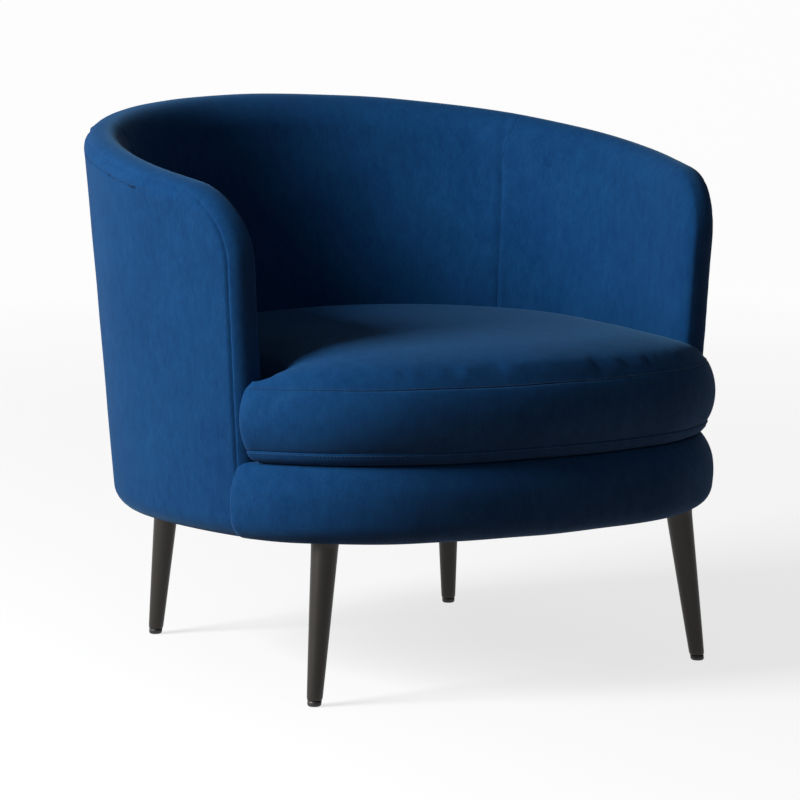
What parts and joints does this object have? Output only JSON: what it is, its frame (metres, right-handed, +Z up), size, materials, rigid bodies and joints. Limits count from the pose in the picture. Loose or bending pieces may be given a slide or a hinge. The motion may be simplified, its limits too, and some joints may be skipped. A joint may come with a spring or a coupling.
{
  "type": "upholstered armchair",
  "caption": "Compact upholstered tub armchair with a wrap-round back, padded arms, front roll, loose seat cushion and splayed tapered legs.",
  "frame": {"origin": "on the floor, under the middle of the chair's box", "axes": "+Z up, the chair faces -Y, +X to the right of someone looking at its front"},
  "size_m": [0.7922, 0.7737, 0.7001],
  "materials": {
    "velvet": "matte",
    "foam": "matte",
    "wadding": "matte",
    "timber": "matte",
    "bronze_metal": "satin",
    "black_plastic": "satin",
    "spring_steel": "satin",
    "zinc_steel": "satin",
    "board": "matte",
    "webbing": "matte",
    "felt": "matte",
    "deck_cloth": "matte",
    "black_cloth": "matte",
    "zip_tape": "matte",
    "zip_metal": "satin"
  },
  "bodies": {
    "chair": {"apron_cover": "velvet", "apron_foam": "foam", "arm_post_left": "timber", "arm_post_right": "timber", "back_post_left": "timber", "back_post_right": "timber", "back_rail": "timber", "back_webbing": "webbing", "base_ring": "timber", "deck_cloth": "deck_cloth", "deck_pad": "foam", "dust_cover": "black_cloth", "front_rail": "timber", "glide_front_left": "black_plastic", "glide_front_right": "black_plastic", "glide_rear_left": "black_plastic", "glide_rear_right": "black_plastic", "inside_arm_cover_left": "velvet", "inside_arm_cover_right": "velvet", "inside_arm_foam_left": "foam", "inside_arm_foam_right": "foam", "inside_back_cover": "velvet", "inside_back_foam": "foam", "leg_front_left": "bronze_metal", "leg_front_right": "bronze_metal", "leg_inserts": "zinc_steel", "leg_rear_left": "bronze_metal", "leg_rear_right": "bronze_metal", "leg_studs": "zinc_steel", "outside_arm_cover_left": "velvet", "outside_arm_cover_right": "velvet", "outside_back_cover": "velvet", "outside_wadding": "wadding", "seat_spring_1": "spring_steel", "seat_spring_2": "spring_steel", "seat_spring_3": "spring_steel", "seat_spring_4": "spring_steel", "seat_spring_5": "spring_steel", "shell_board": "board", "side_post_left": "timber", "side_post_right": "timber", "side_rail_left": "timber", "side_rail_right": "timber", "spring_clips": "black_plastic", "spring_cover": "felt", "top_rail": "timber"},
    "seat_cushion": {"cushion_bottom_cover": "velvet", "cushion_boxing": "velvet", "cushion_core": "foam", "cushion_top_cover": "velvet", "cushion_wrap": "wadding", "cushion_zip": "zip_tape", "cushion_zip_panel": "velvet"},
    "zip_slider": {"zip_slider": "zip_metal"}
  },
  "joints": [
    {"name": "cushion_lift", "type": "slide", "parent": "chair", "child": "seat_cushion", "axis": [0, 0, 1], "range_m": [0, 0.3]},
    {"name": "zip_travel", "type": "hinge", "parent": "seat_cushion", "child": "zip_slider", "pos_m": [0, -0.02, 0.338], "axis": [0, 0, 1], "range_deg": [0, 120]}
  ]
}
